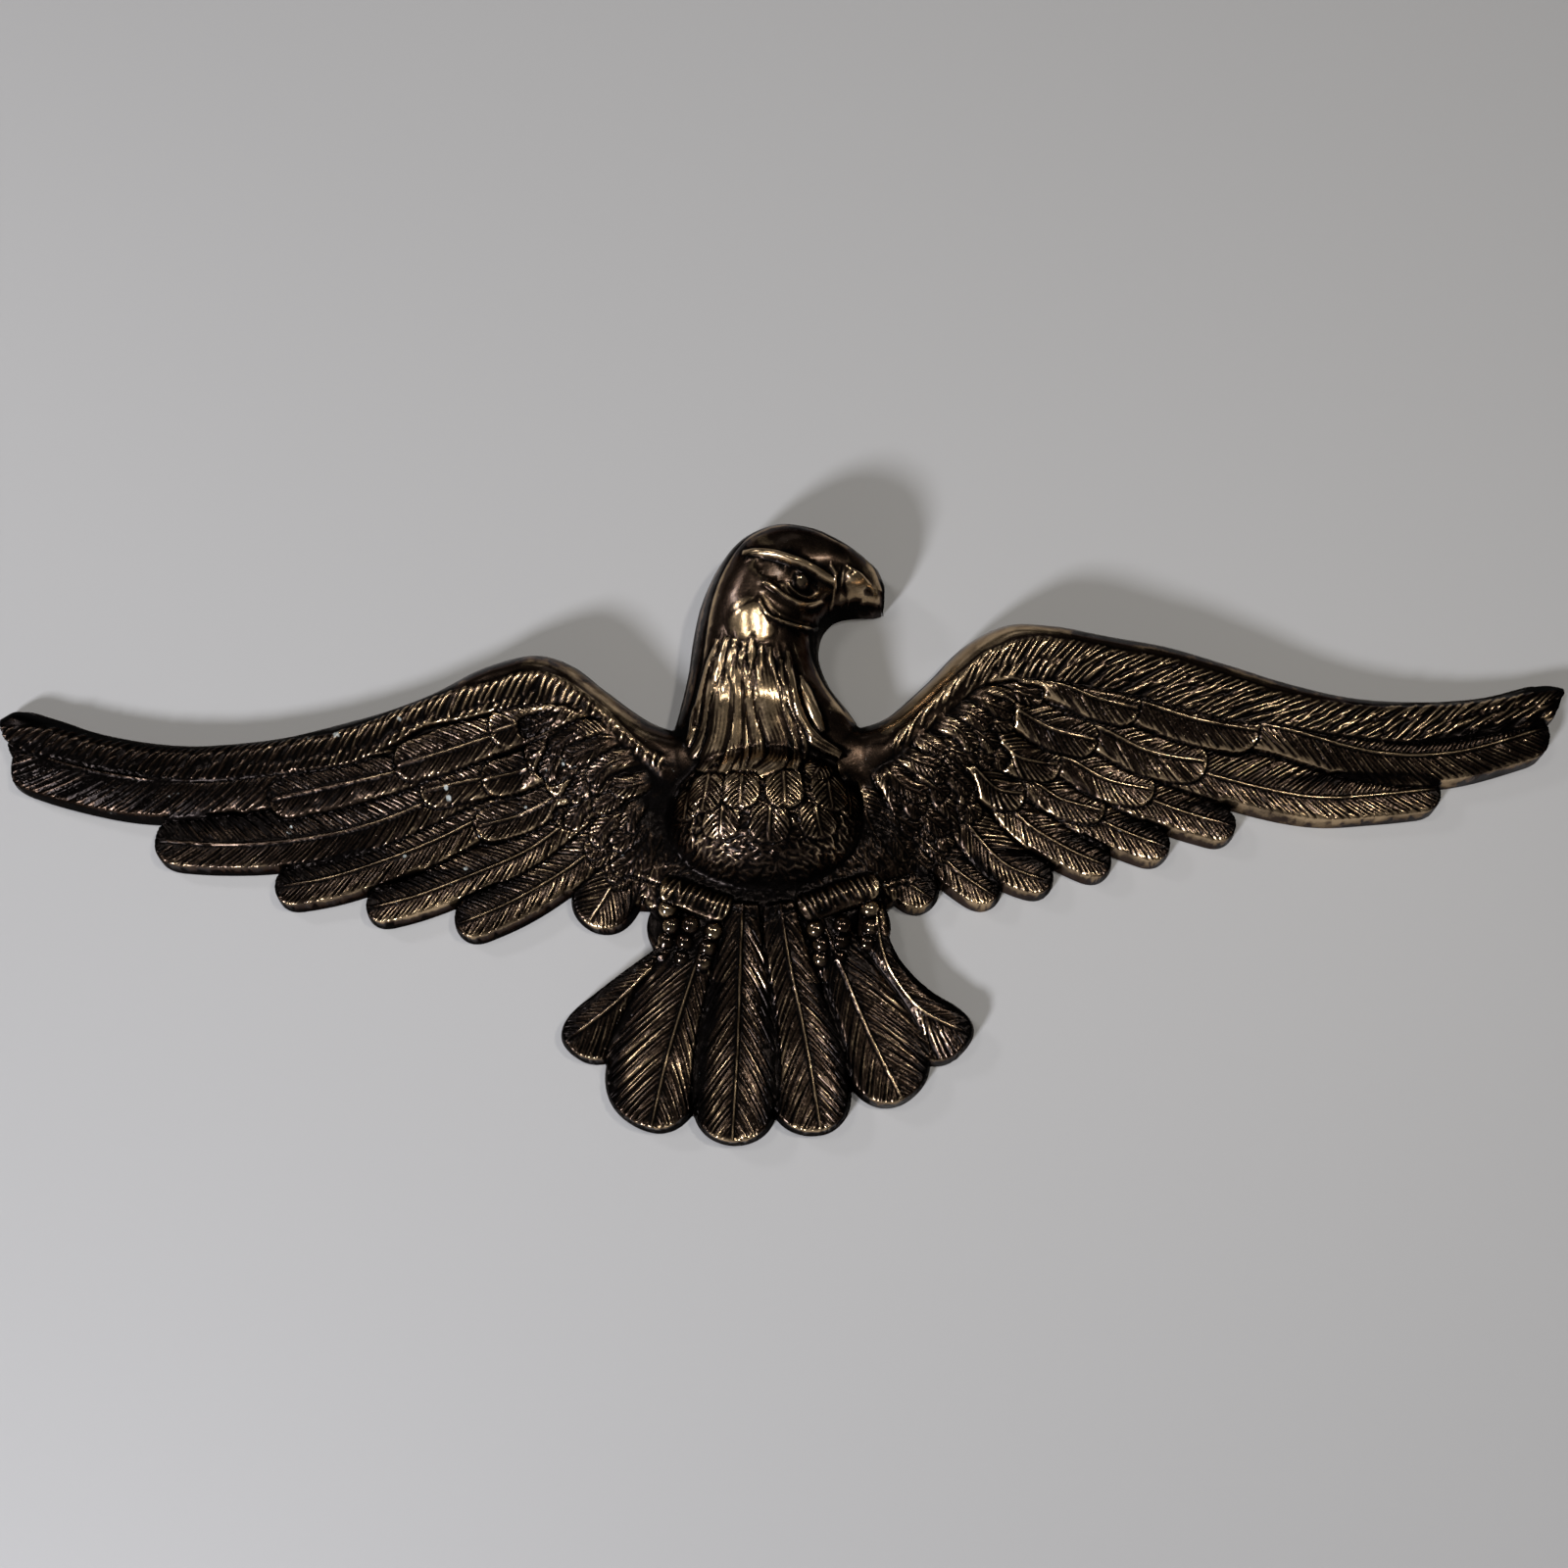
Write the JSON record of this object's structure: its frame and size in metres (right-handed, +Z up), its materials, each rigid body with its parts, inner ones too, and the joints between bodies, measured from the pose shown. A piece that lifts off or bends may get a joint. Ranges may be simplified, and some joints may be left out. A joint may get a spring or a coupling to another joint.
{
  "type": "eagle wall plaque",
  "caption": "Cast brass eagle wall plaque with outspread wings, head turned in profile and a fanned tail, flat at the back to hang on a wall.",
  "frame": {"origin": "on the flat hanging pad of the back, behind the root of the neck, where the casting meets the wall", "axes": "+X to the viewer's right along the wings, +Y back into the wall, +Z up, the front facing -Y"},
  "size_m": [0.6635, 0.0417, 0.2588],
  "materials": {
    "eagle_plaque": "antiqued dark brown patina, rubbed back to warm brass on the high places"
  },
  "bodies": {
    "root": {"eagle_plaque": "eagle_plaque"}
  },
  "joints": []
}
